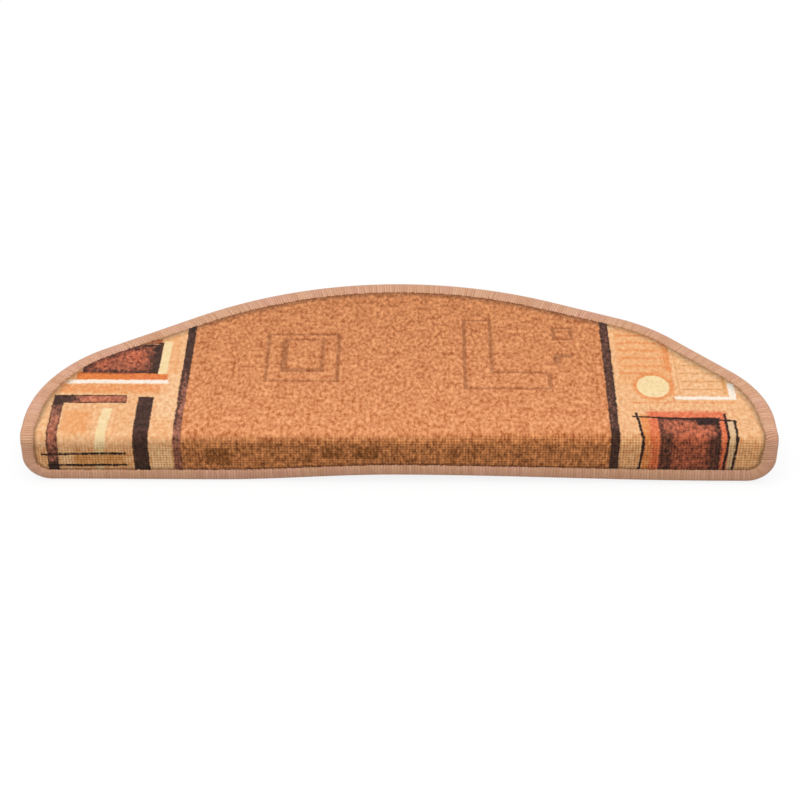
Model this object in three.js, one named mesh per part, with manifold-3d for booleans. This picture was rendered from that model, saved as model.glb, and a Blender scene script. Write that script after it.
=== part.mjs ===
// Stair tread mat: a bound, D-shaped carpet pad whose front edge is folded down over the nose of a step.
// Millimetres, +Z up. X runs across the step and +Y runs back towards the riser.
// The origin is the middle of the tread's underside, the face that is stuck to the step.
//
// The mat is modelled the way it is made. It is drawn as a flat pattern, its rim is squeezed and bound
// with yarn while it lies flat, and then the front is folded down. In the flat pattern u runs across,
// v runs from front to back with zero where the fold ends on the tread, and w is the height above the
// underside.

import * as THREE from 'three';
import { mergeVertices } from 'three/addons/utils/BufferGeometryUtils.js';
import Module from 'manifold-3d';

const wasm = await Module();
wasm.setup();

// Outline of the mat, measured over the binding
const padWidth = 650;
const treadDepth = 240; // front face of the nosing to the furthest point of the back edge
const noseDrop = 44; // top of the step to the lower edge of the nosing, near its two ends
const noseBow = 6; // how much shorter the nosing is in the middle
const cornerRadius = 24; // lower corners of the nosing

// The two halves of the edge. The back is given from the middle outwards: an arc has a radius and a turn
// in degrees, and a flank has only its length. The last arc, the shoulder, turns by what is left to a
// right angle, and the side runs straight forward from it. The mat is cut by hand, so its two halves
// aren't alike.
const leftEdge = {
  bowReach: 160, // from the middle to where the nosing's lower edge runs straight
  sideDepth: 24, // front face of the nosing to where the shoulder starts
  parts: [{ radius: 343, turn: 33 }, { length: 96 }, { radius: 128 }]
};
const rightEdge = {
  bowReach: 280,
  sideDepth: 28,
  parts: [
    { radius: 355, turn: 23.5 },
    { length: 66 },
    { radius: 141, turn: 23 },
    { length: 70 },
    { radius: 103 }
  ]
};

// Carpet
const carpetThickness = 6;
const foldRadius = 4; // inside of the fold, round the edge of the step
const pileRise = 2; // distance from the binding in which the pile comes up to its full height

// Whipped binding round the edge
const bindingWidth = 12.5;
const bindingHeight = 6.5;
const bindingWall = 1.2; // yarn above and below the carpet
const bindingEdge = 2; // yarn outside the cut edge
const bindingCrownWidth = 4; // inner upper part of the yarn, which curves down to the pile
const bindingCrownDrop = 0.9;
const bindingGap = 0.3; // between the yarn and the squeezed carpet

// Carved lines in the pile of the tread. Places count from the mat's middle and its front face.
const carvedDepth = 0.9;
const carvedLine = 2.5;
const carvedBroadLine = 5.5;
const largeSquare = { left: -120.5, front: 80, width: 66.5, depth: 75 };
const innerSquare = { left: -107, front: 95, width: 39, depth: 52 };
const angleFigure = { left: 57, front: 70, width: 78, depth: 109, arm: 27 };
const smallSquare = { left: 139, front: 146, width: 19, depth: 21 };
const smallHook = { left: 138.5, front: 109, width: 18, depth: 16, arm: 6 };

// How finely the round parts are divided
const frontSteps = 10;
const cornerSteps = 9;
const foldSteps = 10;
const degreesPerStep = 2.6; // on the arcs of the back edge
const bindingRoundSteps = 12;
const bindingCrownSteps = 4;

// Corners closer together than this are the same corner
const weldDistance = 1e-4;

const halfWidth = padWidth / 2;
const frontFace = -treadDepth / 2;
const foldCentre = { y: frontFace + carpetThickness + foldRadius, z: -foldRadius };
const foldLength = (foldRadius * Math.PI) / 2;
const flatBack = treadDepth / 2 - foldCentre.y;
const flatFront = -(foldLength + noseDrop - foldRadius);

// Indices of the cut line's points where the fold starts, on the nosing, and where it ends, on the tread
const foldStart = frontSteps + cornerSteps + 1;
const foldEnd = foldStart + foldSteps;

// Folds a point of the flat pattern over the edge of the step. The underside keeps its length.
function fold(u, v, w) {
  const radius = foldRadius + w;
  if (v >= 0) {
    return new THREE.Vector3(u, foldCentre.y + v, w);
  }
  if (v > -foldLength) {
    const turned = -v / foldRadius;
    const forward = radius * Math.sin(turned);
    const up = radius * Math.cos(turned);
    return new THREE.Vector3(u, foldCentre.y - forward, foldCentre.z + up);
  }
  return new THREE.Vector3(u, foldCentre.y - radius, foldCentre.z + v + foldLength);
}

// A place on the outline of the flat pattern, with the direction that leads into the mat there.
function edgePoint(place, inward) {
  return { place, inward: inward.normalize() };
}

// The right half of the front edge, from the middle outwards: the bow of the nosing's lower edge, which
// dies away in half a wave, then the lower corner, and the straight side across the fold.
function frontEdge({ bowReach }) {
  const corner = new THREE.Vector2(halfWidth - cornerRadius, flatFront + cornerRadius);
  const bow = Array.from({ length: frontSteps + 1 }, (unused, step) => {
    const u = (corner.x * step) / frontSteps;
    const wave = (Math.PI * Math.min(u, bowReach)) / bowReach;
    const rise = (noseBow * (1 + Math.cos(wave))) / 2;
    const slope = (-noseBow * Math.sin(wave) * Math.PI) / bowReach / 2;
    return edgePoint(new THREE.Vector2(u, flatFront + rise), new THREE.Vector2(-slope, 1));
  });
  const rounded = Array.from({ length: cornerSteps }, (unused, step) => {
    const angle = (-Math.PI / 2) * (1 - (step + 1) / cornerSteps);
    const away = new THREE.Vector2(Math.cos(angle), Math.sin(angle));
    return edgePoint(corner.clone().addScaledVector(away, cornerRadius), away.negate());
  });
  const side = Array.from({ length: foldSteps + 1 }, (unused, step) => {
    const v = -foldLength * (1 - step / foldSteps);
    return edgePoint(new THREE.Vector2(halfWidth, v), new THREE.Vector2(-1, 0));
  });
  return [...bow, ...rounded, ...side];
}

// Arcs and flanks strung together outwards from the middle of the back, each starting in the direction
// in which the one before it ends. The heading is how far that has turned from straight outwards.
function strungParts(parts) {
  const points = [{ u: 0, v: 0, heading: 0 }];
  for (const { radius, turn, length } of parts) {
    const { u, v, heading } = points.at(-1);
    if (length !== undefined) {
      points.push({ u: u + length * Math.cos(heading), v: v - length * Math.sin(heading), heading });
      continue;
    }
    const left = Math.PI / 2 - heading;
    const turned = turn === undefined ? left : THREE.MathUtils.degToRad(turn);
    const steps = Math.ceil(THREE.MathUtils.radToDeg(turned) / degreesPerStep);
    for (let step = 1; step <= steps; step++) {
      const now = heading + (turned * step) / steps;
      points.push({
        u: u + radius * (Math.sin(now) - Math.sin(heading)),
        v: v - radius * (Math.cos(heading) - Math.cos(now)),
        heading: now
      });
    }
  }
  return points;
}

// The back edge of the right half, from the side to the middle. The strung parts are stretched so that
// they reach from the side to the middle of the back, whatever the mat's width and depth are.
function backEdge({ sideDepth, parts }) {
  const points = strungParts(parts);
  const { u: reach, v: drop } = points.at(-1);
  const sideV = sideDepth - carpetThickness - foldRadius;
  const wider = halfWidth / reach;
  const deeper = (flatBack - sideV) / -drop;
  const stretched = points.map(({ u, v, heading }) => {
    const inward = new THREE.Vector2(-Math.sin(heading) / wider, -Math.cos(heading) / deeper);
    return edgePoint(new THREE.Vector2(u * wider, flatBack + v * deeper), inward);
  });
  return stretched.reverse();
}

// The whole outline, anticlockwise from the middle of the front edge.
function outline() {
  const right = [...frontEdge(rightEdge), ...backEdge(rightEdge)];
  const left = [...frontEdge(leftEdge), ...backEdge(leftEdge)].slice(1, -1).reverse();
  const mirrored = left.map(({ place, inward }) => {
    return edgePoint(new THREE.Vector2(-place.x, place.y), new THREE.Vector2(-inward.x, inward.y));
  });
  return [...right, ...mirrored];
}

const edge = outline();

// The cut line moved inwards by an inset
function cutLine(inset) {
  return edge.map(({ place, inward }) => place.clone().addScaledVector(inward, inset));
}

// A folded ring of points for each corner of an edge profile, given as inset and height.
function foldedRings(profile) {
  return profile.map(([inset, height]) => cutLine(inset).map((at) => fold(at.x, at.y, height)));
}

// Faces between neighbouring rings. The rings run under the mat, out round its edge and back on top.
function ringFaces(ringCount, pointCount, closed) {
  const faces = [];
  const bands = closed ? ringCount : ringCount - 1;
  for (let ring = 0; ring < bands; ring++) {
    const here = ring * pointCount;
    const there = ((ring + 1) % ringCount) * pointCount;
    for (let point = 0; point < pointCount; point++) {
      const next = (point + 1) % pointCount;
      faces.push([here + point, here + next, there + next]);
      faces.push([here + point, there + next, there + point]);
    }
  }
  return faces;
}

// Faces over everything inside a ring, seen from above: the nosing, the tread and the fold in strips.
function fieldFaces(outline) {
  const count = outline.length;
  const mirrored = (point) => (count - point) % count;
  const nosing = [];
  for (let point = -foldStart; point <= foldStart; point++) {
    nosing.push((point + count) % count);
  }
  const tread = [];
  for (let point = foldEnd; point <= count - foldEnd; point++) {
    tread.push(point);
  }
  const faces = [];
  for (const area of [nosing, tread]) {
    const corners = area.map((point) => outline[point]);
    for (const face of THREE.ShapeUtils.triangulateShape(corners, [])) {
      faces.push(face.map((corner) => area[corner]));
    }
  }
  for (let point = foldStart; point < foldEnd; point++) {
    faces.push([point, point + 1, mirrored(point + 1)]);
    faces.push([point, mirrored(point + 1), mirrored(point)]);
  }
  return faces;
}

function meshGeometry(points, faces) {
  const places = points.flatMap((point) => point.toArray());
  const geometry = new THREE.BufferGeometry();
  geometry.setAttribute('position', new THREE.Float32BufferAttribute(places, 3));
  geometry.setIndex(faces.flat());
  return geometry;
}

// The carpet sheet: full thickness inside, squeezed to a thin tongue all round where the yarn holds it.
function carpetSheet() {
  const squeeze = bindingWall + bindingGap;
  const tongueEnd = bindingEdge + bindingGap;
  const tongueRoot = bindingWidth + bindingGap;
  const fieldEdge = tongueRoot + pileRise;
  const rings = foldedRings([
    [fieldEdge, 0],
    [tongueRoot, squeeze],
    [tongueEnd, squeeze],
    [tongueEnd, bindingHeight - squeeze],
    [tongueRoot, bindingHeight - squeeze],
    [fieldEdge, carpetThickness]
  ]);
  const pointCount = rings[0].length;
  const upperRing = (rings.length - 1) * pointCount;
  const field = fieldFaces(cutLine(fieldEdge));
  return meshGeometry(rings.flat(), [
    ...ringFaces(rings.length, pointCount, false),
    ...field.map(([a, b, c]) => [a, c, b]),
    ...field.map((face) => face.map((point) => point + upperRing))
  ]);
}

// The binding: a C of close yarn turns that grips the tongue, round outside and flush underneath.
function bindingBead() {
  const radius = bindingHeight / 2;
  const round = Array.from({ length: bindingRoundSteps + 1 }, (unused, step) => {
    const angle = (Math.PI * step) / bindingRoundSteps;
    return [radius - radius * Math.sin(angle), radius - radius * Math.cos(angle)];
  });
  const crown = Array.from({ length: bindingCrownSteps + 1 }, (unused, step) => {
    const angle = (Math.PI / 2) * (step / bindingCrownSteps);
    const inset = bindingWidth - bindingCrownWidth * (1 - Math.sin(angle));
    return [inset, bindingHeight - bindingCrownDrop * (1 - Math.cos(angle))];
  });
  const rings = foldedRings([
    [bindingWidth, 0],
    ...round,
    ...crown,
    [bindingWidth, bindingHeight - bindingWall],
    [bindingEdge, bindingHeight - bindingWall],
    [bindingEdge, bindingWall],
    [bindingWidth, bindingWall]
  ]);
  return meshGeometry(rings.flat(), ringFaces(rings.length, rings[0].length, true));
}

// Corners of the carved figures. Each outline is taken in by an inset, and the rectangle's front and
// left sides can have an inset of their own.

function rectangle({ left, front, width, depth }, inset = 0, broadInset = inset) {
  return [
    [left + broadInset, front + broadInset],
    [left + width - inset, front + broadInset],
    [left + width - inset, front + depth - inset],
    [left + broadInset, front + depth - inset]
  ];
}

// An L with its arms along the left and the front
function angle({ left, front, width, depth, arm }, inset = 0) {
  return [
    [left + inset, front + inset],
    [left + width - inset, front + inset],
    [left + width - inset, front + arm - inset],
    [left + arm - inset, front + arm - inset],
    [left + arm - inset, front + depth - inset],
    [left + inset, front + depth - inset]
  ];
}

// An L turned over, with its arms along the left and the back
function hook({ left, front, width, depth, arm }) {
  return [
    [left, front],
    [left + arm, front],
    [left + arm, front + depth - arm],
    [left + width, front + depth - arm],
    [left + width, front + depth],
    [left, front + depth]
  ];
}

// A cutter for the groove between two outlines, or for a shallow pit where there is no inner one.
function carving(outer, inner = []) {
  const drawn = (corners) => corners.map(([x, fromFront]) => new THREE.Vector2(x, frontFace + fromFront));
  const shape = new THREE.Shape(drawn(outer));
  if (inner.length > 0) {
    shape.holes.push(new THREE.Path(drawn(inner)));
  }
  const geometry = new THREE.ExtrudeGeometry(shape, { depth: 2 * carvedDepth, bevelEnabled: false });
  geometry.translate(0, 0, carpetThickness - carvedDepth);
  return geometry;
}

function carvings() {
  return [
    carving(rectangle(largeSquare), rectangle(largeSquare, carvedLine)),
    carving(rectangle(innerSquare), rectangle(innerSquare, carvedLine, carvedBroadLine)),
    carving(angle(angleFigure), angle(angleFigure, carvedLine)),
    carving(rectangle(smallSquare), rectangle(smallSquare, carvedLine)),
    carving(hook(smallHook))
  ];
}

// A closed mesh as a solid that can be cut, and back again

function toSolid(geometry) {
  const bare = geometry.clone();
  bare.deleteAttribute('normal');
  bare.deleteAttribute('uv');
  const welded = mergeVertices(bare, weldDistance);
  const vertProperties = new Float32Array(welded.getAttribute('position').array);
  const triVerts = new Uint32Array(welded.index.array);
  return new wasm.Manifold(new wasm.Mesh({ numProp: 3, vertProperties, triVerts }));
}

function fromSolid(solid) {
  const mesh = solid.getMesh();
  const geometry = new THREE.BufferGeometry();
  geometry.setAttribute('position', new THREE.BufferAttribute(mesh.vertProperties, 3));
  geometry.setIndex(new THREE.BufferAttribute(mesh.triVerts, 1));
  return geometry;
}

function carvedCarpet() {
  const cutOut = (solid, cutter) => solid.subtract(toSolid(cutter));
  return fromSolid(carvings().reduce(cutOut, toSolid(carpetSheet())));
}

function piece(name, geometry, material) {
  geometry.computeVertexNormals();
  const mesh = new THREE.Mesh(geometry, new THREE.MeshStandardMaterial(material));
  mesh.name = name;
  return mesh;
}

const mat = new THREE.Group();
mat.name = 'stair_tread_mat';
mat.add(piece('carpet', carvedCarpet(), { color: 0xd08c5a, roughness: 0.95, metalness: 0 }));
mat.add(piece('edge_binding', bindingBead(), { color: 0xb98a6c, roughness: 0.8, metalness: 0 }));

export default mat;
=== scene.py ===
# %% [markdown]
# # Stair tread mat
#
# A half-round carpet mat for one stair tread. The real one is cut flat from printed, tufted
# carpet, whipped round its cut edge with yarn, and then its front is folded down over the nose of
# the step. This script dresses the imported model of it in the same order: sheet, print, binding.
#
# Everything is in metres in the model's own frame. The tread's underside lies at z = 0, X runs
# across the step, and Y runs back from the nosing to the riser.

# %% Load the frame
import math
from functools import partial

import bpy
import numpy as np
from mathutils import Matrix, Vector
from mathutils.geometry import delaunay_2d_cdt
from mathutils.kdtree import KDTree


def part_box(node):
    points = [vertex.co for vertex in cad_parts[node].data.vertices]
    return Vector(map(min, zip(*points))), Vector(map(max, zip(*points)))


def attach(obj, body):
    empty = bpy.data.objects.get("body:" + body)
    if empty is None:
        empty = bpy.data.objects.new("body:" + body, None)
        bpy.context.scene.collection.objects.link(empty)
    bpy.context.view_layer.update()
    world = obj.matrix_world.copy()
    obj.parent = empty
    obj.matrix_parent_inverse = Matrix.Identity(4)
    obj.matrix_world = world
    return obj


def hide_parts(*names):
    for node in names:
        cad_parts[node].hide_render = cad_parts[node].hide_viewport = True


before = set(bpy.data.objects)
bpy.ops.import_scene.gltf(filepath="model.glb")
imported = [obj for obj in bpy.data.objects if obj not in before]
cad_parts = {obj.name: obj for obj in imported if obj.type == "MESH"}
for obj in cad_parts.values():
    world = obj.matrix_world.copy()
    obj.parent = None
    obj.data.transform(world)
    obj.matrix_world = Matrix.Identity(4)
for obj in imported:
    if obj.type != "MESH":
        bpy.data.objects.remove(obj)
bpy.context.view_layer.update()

# %% [markdown]
# ## Sizes
#
# The mat's size is read from the frame, so it can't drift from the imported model. The shape of the
# outline and the make-up of the edge can't be read from a box, so they are named in millimetres.

# %% Sizes in millimetres
MM = 0.001
binding_low, binding_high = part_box("edge_binding")
HALF_WIDTH = binding_high.x / MM
BACK_Y = binding_high.y / MM
BINDING_HEIGHT = binding_high.z / MM
CARPET_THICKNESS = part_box("carpet")[1].z / MM
FRONT_Y = binding_low.y / MM + BINDING_HEIGHT - CARPET_THICKNESS
NOSE_DROP = -binding_low.z / MM
CORNER_RADIUS = 24.0
NOSE_BOW = 7.1  # how much shorter the nosing is in the middle
FOLD_RADIUS = 4.0
BINDING_WIDTH = 12.5
BINDING_WALL = 1.2
BINDING_EDGE = 2.0
BINDING_GAP = 0.3
PILE_RISE = 2.0  # distance from the binding in which the pile comes up to its full height

FOLD_Y = FRONT_Y + CARPET_THICKNESS + FOLD_RADIUS
FOLD_LENGTH = FOLD_RADIUS * math.pi / 2
OUTER_FOLD = (FOLD_RADIUS + CARPET_THICKNESS) * math.pi / 2
FLAT_BACK = BACK_Y - FOLD_Y
FLAT_FRONT = -(FOLD_LENGTH + NOSE_DROP - FOLD_RADIUS)
print(f"mat {2 * HALF_WIDTH:.0f} x {BACK_Y - FRONT_Y:.0f} mm, nosing {NOSE_DROP:.1f} mm deep")

# %% [markdown]
# ## Colours and nodes
#
# Colours are written as the sRGB hex values that a colour picker shows, and one function turns
# them into the linear numbers that the renderer works with. One more function adds a node: it
# takes the node's kind, what goes into its sockets, in their order or by their names, and its
# settings. The kinds of shader nodes are given without their prefix. A socket is given a value, or
# another node, whose first output in use it is then linked to, or one output of another node. Each
# tree below has an "add" of its own, which is this function with the tree already filled in.

# %% Helpers
def srgb(code):
    """A hex colour as linear red, green, blue and an alpha of 1."""
    parts = [int(code[i : i + 2], 16) / 255 for i in (1, 3, 5)]
    return [p / 12.92 if p <= 0.04045 else ((p + 0.055) / 1.055) ** 2.4 for p in parts] + [1.0]


def add_node(tree, kind, *inputs, **settings):
    """Adds a node and returns it. Its inputs come in order, or in a dict that names them."""
    node = tree.nodes.new(kind if "Node" in kind else "ShaderNode" + kind)
    for name, value in settings.items():
        setattr(node, name, value)
    given = {}
    for place, value in enumerate(inputs):
        given.update(value if isinstance(value, dict) else {place: value})
    for name, value in given.items():
        if isinstance(name, str):
            target = next(s for s in node.inputs if s.name == name and s.enabled)
        else:
            target = node.inputs[name]
        if isinstance(value, bpy.types.Node):
            value = next(s for s in value.outputs if s.enabled)
        if isinstance(value, bpy.types.NodeSocket):
            tree.links.new(value, target)
        else:
            target.default_value = value
    return node


def cleared(owner):
    """Empties the node tree of a material or world, and returns what adds nodes to it."""
    owner.use_nodes = True
    owner.node_tree.nodes.clear()
    return partial(add_node, owner.node_tree)


# %% [markdown]
# ## Camera
#
# The photograph looks down on the mat from the front with a long lens. The angle, distance and
# lens come from fitting a pinhole camera to the mat's outline at its real size.

# %% Camera
CAMERA_PITCH = math.radians(36.604)
CAMERA_YAW = math.radians(-0.341)
CAMERA_ROLL = math.radians(0.05)
CAMERA_DISTANCE = 1.73
CAMERA_TARGET = Vector((0.0005, -0.0589, 0.0))
SENSOR_MM = 36.0
PHOTO_WIDTH_PX = 800
FOCAL_PX = 1966.3

looks = Vector(
    (
        math.sin(CAMERA_YAW) * math.cos(CAMERA_PITCH),
        math.cos(CAMERA_YAW) * math.cos(CAMERA_PITCH),
        -math.sin(CAMERA_PITCH),
    )
)
level_right = Vector((math.cos(CAMERA_YAW), -math.sin(CAMERA_YAW), 0))
level_up = level_right.cross(looks)
right = level_right * math.cos(CAMERA_ROLL) + level_up * math.sin(CAMERA_ROLL)
up = level_up * math.cos(CAMERA_ROLL) - level_right * math.sin(CAMERA_ROLL)
camera = bpy.data.objects.new("camera", bpy.data.cameras.new("camera"))
camera.data.sensor_width = SENSOR_MM
camera.data.lens = FOCAL_PX / PHOTO_WIDTH_PX * SENSOR_MM
turned = Matrix((right, up, -looks)).transposed().to_4x4()
camera.matrix_world = Matrix.Translation(CAMERA_TARGET - looks * CAMERA_DISTANCE) @ turned
bpy.context.scene.collection.objects.link(camera)
bpy.context.scene.camera = camera
print(f"lens {camera.data.lens:.1f} mm")

# %% [markdown]
# ## Studio
#
# The mat was photographed on white, under broad soft light from above and a little from the front.
# One wide sun gives the same light everywhere, so that the floor stays evenly white. To the camera
# the floor is mostly plain white and only a little white paper, so it shows the mat's own shadow
# faintly, as the photograph does. To the light that bounces off it, it is a pale grey.

# %% Studio
SUN_STRENGTH = 2.5
SUN_SPREAD = math.radians(70)
SUN_TILT = (math.radians(14), math.radians(-3), 0)
SKY_STRENGTH = 0.3
PLAIN_WHITE = 0.86  # share of the floor that shows no shadow
FLOOR_SIZE = 12.0
FLOOR_GAP = 0.0005

scene = bpy.context.scene
scene.view_settings.view_transform = "Standard"

sun = bpy.data.objects.new("softbox", bpy.data.lights.new("softbox", "SUN"))
sun.data.energy = SUN_STRENGTH
sun.data.angle = SUN_SPREAD
sun.rotation_euler = SUN_TILT
scene.collection.objects.link(sun)

world = bpy.data.worlds.new("studio")
scene.world = world
add_sky = cleared(world)
path = add_sky("LightPath")
seen = add_sky(
    "Math", path.outputs["Is Camera Ray"], path.outputs["Is Glossy Ray"], operation="MAXIMUM"
)
strength = add_sky("MapRange", seen, {"To Min": SKY_STRENGTH, "To Max": 1.0})
sky = add_sky("Background", {"Color": srgb("#FFFFFF"), "Strength": strength})
add_sky("OutputWorld", sky)

floor_paint = bpy.data.materials.new("white_paper_sweep")
add_floor = cleared(floor_paint)
path = add_floor("LightPath")
floor_colour = add_floor(
    "Mix",
    {"Factor": path.outputs["Is Camera Ray"], "A": srgb("#C8C6C4"), "B": srgb("#FFFFFF")},
    data_type="RGBA",
)
paper = add_floor("BsdfDiffuse", floor_colour)
plain = add_floor("Emission", srgb("#FFFFFF"))
plain_share = add_floor("Math", path.outputs["Is Camera Ray"], PLAIN_WHITE, operation="MULTIPLY")
floor_look = add_floor("MixShader", plain_share, paper, plain)
add_floor("OutputMaterial", floor_look)

floor_z = binding_low.z - FLOOR_GAP
half_floor = FLOOR_SIZE / 2
floor_mesh = bpy.data.meshes.new("floor")
signs = ((-1, -1), (1, -1), (1, 1), (-1, 1))
floor_corners = [(half_floor * x, half_floor * y, floor_z) for x, y in signs]
floor_mesh.from_pydata(floor_corners, [], [(0, 1, 2, 3)])
floor_mesh.materials.append(floor_paint)
floor = bpy.data.objects.new("floor", floor_mesh)
scene.collection.objects.link(floor)

# %% [markdown]
# ## The cut shape
#
# The outline is worked out in the flat pattern, where u runs across and v runs back, with v = 0
# where the fold ends on the tread. Its front bows up a little in the middle and has round corners.
# Its back edge is cut by hand, so each half has its own arcs and straight flanks, strung together
# from the middle outwards and stretched to the mat's size. Every point of the outline keeps the
# direction that leads into the mat, so the rings inside it are the same points, moved that way.

# %% Outline of the flat pattern
RING_SPACING = 1.5
# Places across the mat, and how far in the yarn reaches there, as a share of the binding's width
BACK_REACH = [(-250, 1.14), (-140, 1.35), (140, 1.35), (230, 1.14)]
FRONT_REACH = [(-300, 0.94), (-170, 1.0), (90, 1.0), (180, 1.1), (300, 1.2)]
REACH_FADE = (10.0, 20.0)  # lengths over which these come in, on the nosing and on the tread
# Reach of the bow from the middle, and how much shorter the nosing is at its end
LEFT_FRONT = (160.0, 1.0)
RIGHT_FRONT = (280.0, 2.0)
# Depth of the straight side behind the nosing's face, then arcs as radius and turn, and flanks as
# length and None. The last arc turns by what is left to a right angle.
LEFT_EDGE = (24.0, [(343, 33), (96, None), (128, 57)])
RIGHT_EDGE = (28.0, [(355, 23.5), (66, None), (141, 23), (70, None), (103, 43.5)])


def steps_for(length):
    return max(2, round(length / RING_SPACING))


def with_unit(ways):
    return ways / np.linalg.norm(ways, axis=1)[:, None]


def front_edge(bow_reach, shorter):
    """The right half of the front edge and the side across the fold, from the middle outwards."""
    corner = (HALF_WIDTH - CORNER_RADIUS, FLAT_FRONT + shorter + CORNER_RADIUS)
    u = np.linspace(0, corner[0], steps_for(corner[0]) + 1)
    wave = math.pi * np.minimum(u, bow_reach) / bow_reach
    half_bow = (NOSE_BOW - shorter) / 2
    rise = shorter + half_bow * (1 + np.cos(wave))
    slope = -half_bow * np.sin(wave) * math.pi / bow_reach
    bow = np.column_stack((u, FLAT_FRONT + rise, with_unit(np.column_stack((-slope, 1 + 0 * u)))))
    count = steps_for(CORNER_RADIUS * math.pi / 2)
    angle = -math.pi / 2 * (1 - np.arange(1, count + 1) / count)
    away = np.column_stack((np.cos(angle), np.sin(angle)))
    parts = [bow, np.hstack((np.array(corner) + CORNER_RADIUS * away, -away))]
    for front, back, length in (
        (corner[1], -FOLD_LENGTH, -FOLD_LENGTH - corner[1]),
        (-FOLD_LENGTH, 0, OUTER_FOLD),
    ):
        share = np.arange(1, steps_for(length) + 1) / steps_for(length)
        side = [(HALF_WIDTH, front + (back - front) * part, -1, 0) for part in share]
        parts.append(side)
    return np.vstack(parts)


def back_edge(side_depth, parts):
    """The back edge of the right half, from the side to the middle of the back."""
    u, v, heading = 0.0, 0.0, 0.0
    points = [(u, v, heading)]
    for size, turn in parts:
        turned = math.radians(turn or 0)
        count = steps_for(size * turned if turn else size)
        for share in np.arange(1, count + 1) / count:
            now = heading + turned * share
            if turn:
                across = size * (math.sin(now) - math.sin(heading))
                along = size * (math.cos(heading) - math.cos(now))
            else:
                across = size * share * math.cos(heading)
                along = size * share * math.sin(heading)
            points.append((u + across, v - along, now))
        u, v, heading = points[-1]
    side_v = side_depth - (FOLD_Y - FRONT_Y)
    wider, deeper = HALF_WIDTH / u, (FLAT_BACK - side_v) / -v
    places = np.array(points)[::-1]
    inward = with_unit(
        np.column_stack((-np.sin(places[:, 2]) / wider, -np.cos(places[:, 2]) / deeper))
    )
    at = np.column_stack((places[:, 0] * wider, FLAT_BACK + places[:, 1] * deeper))
    count = steps_for(side_v)
    side = [(HALF_WIDTH, side_v * part, -1, 0) for part in np.arange(1, count) / count]
    return np.vstack((side, np.hstack((at, inward))))


right_half = np.vstack((front_edge(*RIGHT_FRONT), back_edge(*RIGHT_EDGE)))
left_half = np.vstack((front_edge(*LEFT_FRONT), back_edge(*LEFT_EDGE)))
left_half = left_half[-2:0:-1] * [-1, 1, -1, 1]
outline = np.vstack((right_half, left_half))
ring_count = len(outline)
print(f"outline of {ring_count} points")


def cut_line(inset):
    """The outline moved inwards, anticlockwise from the middle of the front edge."""
    return outline[:, :2] + inset * outline[:, 2:]


def yarn_reach(points):
    """How far in the yarn reaches at points of the outline, as a share of the binding's width."""
    on_front = np.clip(-(points[:, 1] + FOLD_LENGTH) / REACH_FADE[0], 0, 1)
    along_front = np.interp(points[:, 0], *np.transpose(FRONT_REACH))
    on_back = np.clip(points[:, 1] / REACH_FADE[1], 0, 1)
    along_back = np.interp(points[:, 0], *np.transpose(BACK_REACH))
    return 1 + on_back * (along_back - 1) + on_front * (along_front - 1)


def edge_distance(u, v):
    """How far points of the flat pattern lie inside the outline, and its point nearest to each."""
    nearest = KDTree(ring_count)
    for index, place in enumerate(outline):
        nearest.insert((place[0], place[1], 0), index)
    nearest.balance()
    found = np.array([nearest.find((a, b, 0))[1] for a, b in zip(u, v)])
    offset = np.column_stack((u, v)) - outline[found, :2]
    return np.sum(offset * outline[found, 2:], axis=1), found


# %% [markdown]
# ## The fold
#
# The front of the sheet turns down round the edge of the step. The underside keeps its length
# there and the pile side stretches round the outside, so the print is laid out by lengths on the
# pile side, which are called print places here: v = 0 is then the middle of the bend.

# %% Fold and print places
def fold(u, v, w):
    """Where a point of the flat pattern ends up, w above the underside, and which way w points."""
    radius = FOLD_RADIUS + w
    turned = np.clip(-v / FOLD_RADIUS, 0, math.pi / 2)
    past = np.minimum(v + FOLD_LENGTH, 0)
    y = FOLD_Y + np.maximum(v, 0) - radius * np.sin(turned)
    z = -FOLD_RADIUS + radius * np.cos(turned) + past
    outward = np.stack((np.zeros_like(turned), -np.sin(turned), np.cos(turned)), axis=-1)
    return np.stack((u + 0 * turned, y, z), axis=-1), outward


def print_v(v):
    """Print place of a flat pattern place."""
    on_fold = np.clip(v, -FOLD_LENGTH, 0) * OUTER_FOLD / FOLD_LENGTH
    return OUTER_FOLD / 2 + np.maximum(v, 0) + on_fold + np.minimum(v + FOLD_LENGTH, 0)


def pattern_v(place):
    """Flat pattern place of a print place."""
    place = place - OUTER_FOLD / 2
    on_fold = np.clip(place, -OUTER_FOLD, 0) * FOLD_LENGTH / OUTER_FOLD
    return np.maximum(place, 0) + on_fold + np.minimum(place + OUTER_FOLD, 0)


# %% [markdown]
# ## The carpet sheet
#
# The sheet is one closed mesh: the pile side, the squeezed rim that the binding grips, and the
# flat backing. Inside the rim the pile side is filled by a triangulation over scattered points. On
# the tread they are irregular, as cut pile is. Round the fold and on the nosing they follow the
# rows of tufts, because bending opens the pile and shows its rows there. Geometry Nodes then raise
# the tufts, so that their height and spacing can be changed without touching the sheet.

# %% Points of the carpet sheet
TUFT_PITCH = 2.55
TREAD_SPACING = 1.32
TREAD_JITTER = 0.3  # share of the spacing
ROWS_BACK_TO = 10.0  # print place where the rows of points give way to scattered ones
# Places across the mat, and the print place there at which the pile has half opened
OPENING = [(-290, -10), (-230, -7), (-150, -2), (-50, -0.5), (20, 0), (90, 5), (190, 5), (290, 0)]
OPENING_LENGTH = 8.0
BACKING_SPACING = 14.0
EDGE_CLEARANCE = 0.6  # between the last ring and the first scattered point
RIM_LENGTH = 2.8  # of pile that leans away from the yarn, over which its painted shade fades
# Towards the back the painted shade beside the yarn spreads wider
BACK_RIM_LENGTH = 8.5
BACK_RIM_FROM = 60.0  # flat pattern place
# How the pile comes up beside the binding: shares of PILE_RISE and of the height it gains
RISE_SHAPE = [(0, 0.2), (0.35, 0.7), (1, 1)]
SEED = 7

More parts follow.
